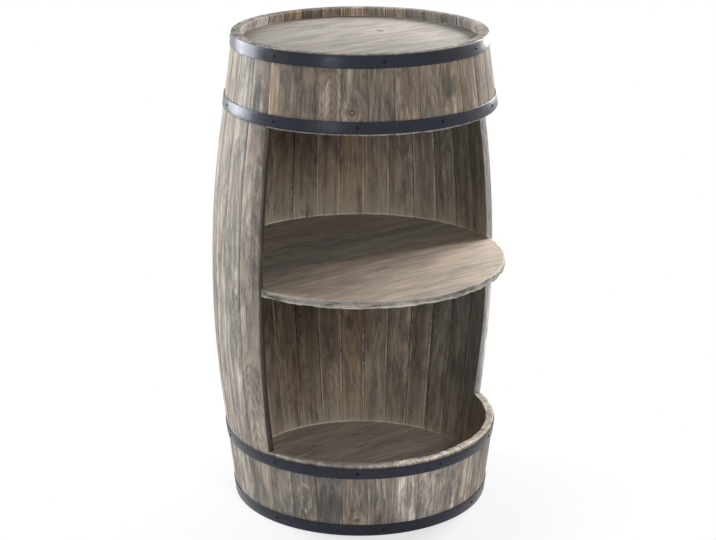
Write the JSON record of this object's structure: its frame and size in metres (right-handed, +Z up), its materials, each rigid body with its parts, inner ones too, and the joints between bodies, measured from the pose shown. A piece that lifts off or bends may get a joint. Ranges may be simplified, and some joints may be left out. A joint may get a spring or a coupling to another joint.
{
  "type": "barrel bar cabinet",
  "caption": "Open barrel cabinet of coopered staves and dark steel hoops, its front cut away to show a round shelf and a floor, under a recessed top.",
  "frame": {"origin": "on the barrel's axis, at the underside of the staves on which it stands", "axes": "+Z up, -Y the open front, +X to the right as one faces the front"},
  "size_m": [0.497, 0.4925, 0.8],
  "materials": {
    "stave_wood": "weathered softwood, raw, grey-brown with dark grain",
    "board_wood": "weathered softwood, raw, warm grey, planed",
    "dowel_wood": "raw beech",
    "hoop_steel": "satin blue-black",
    "nail_steel": "dull black"
  },
  "bodies": {
    "root": {"stave_01": "stave_wood", "stave_02": "stave_wood", "stave_03": "stave_wood", "stave_04": "stave_wood", "stave_05": "stave_wood", "stave_06": "stave_wood", "stave_07": "stave_wood", "stave_08": "stave_wood", "stave_09": "stave_wood", "stave_10": "stave_wood", "stave_11": "stave_wood", "stave_12": "stave_wood", "stave_13": "stave_wood", "stave_14": "stave_wood", "stave_15": "stave_wood", "stave_16": "stave_wood", "stave_17": "stave_wood", "stave_18": "stave_wood", "stave_19": "stave_wood", "upper_stave_01": "stave_wood", "upper_stave_02": "stave_wood", "upper_stave_03": "stave_wood", "upper_stave_04": "stave_wood", "upper_stave_05": "stave_wood", "upper_stave_06": "stave_wood", "upper_stave_07": "stave_wood", "upper_stave_08": "stave_wood", "upper_stave_09": "stave_wood", "upper_stave_10": "stave_wood", "upper_stave_11": "stave_wood", "upper_stave_12": "stave_wood", "upper_stave_13": "stave_wood", "upper_stave_14": "stave_wood", "lower_stave_01": "stave_wood", "lower_stave_02": "stave_wood", "lower_stave_03": "stave_wood", "lower_stave_04": "stave_wood", "lower_stave_05": "stave_wood", "lower_stave_06": "stave_wood", "lower_stave_07": "stave_wood", "lower_stave_08": "stave_wood", "lower_stave_09": "stave_wood", "lower_stave_10": "stave_wood", "lower_stave_11": "stave_wood", "lower_stave_12": "stave_wood", "lower_stave_13": "stave_wood", "lower_stave_14": "stave_wood", "lid_board_front": "board_wood", "lid_board_back": "board_wood", "shelf_board_front": "board_wood", "shelf_board_back": "board_wood", "floor_board_front": "board_wood", "floor_board_back": "board_wood", "board_dowels": "dowel_wood", "hoop_top": "hoop_steel", "hoop_upper": "hoop_steel", "hoop_lower": "hoop_steel", "hoop_foot": "hoop_steel", "hoop_nails": "nail_steel", "hoop_rivets": "nail_steel"}
  },
  "joints": []
}
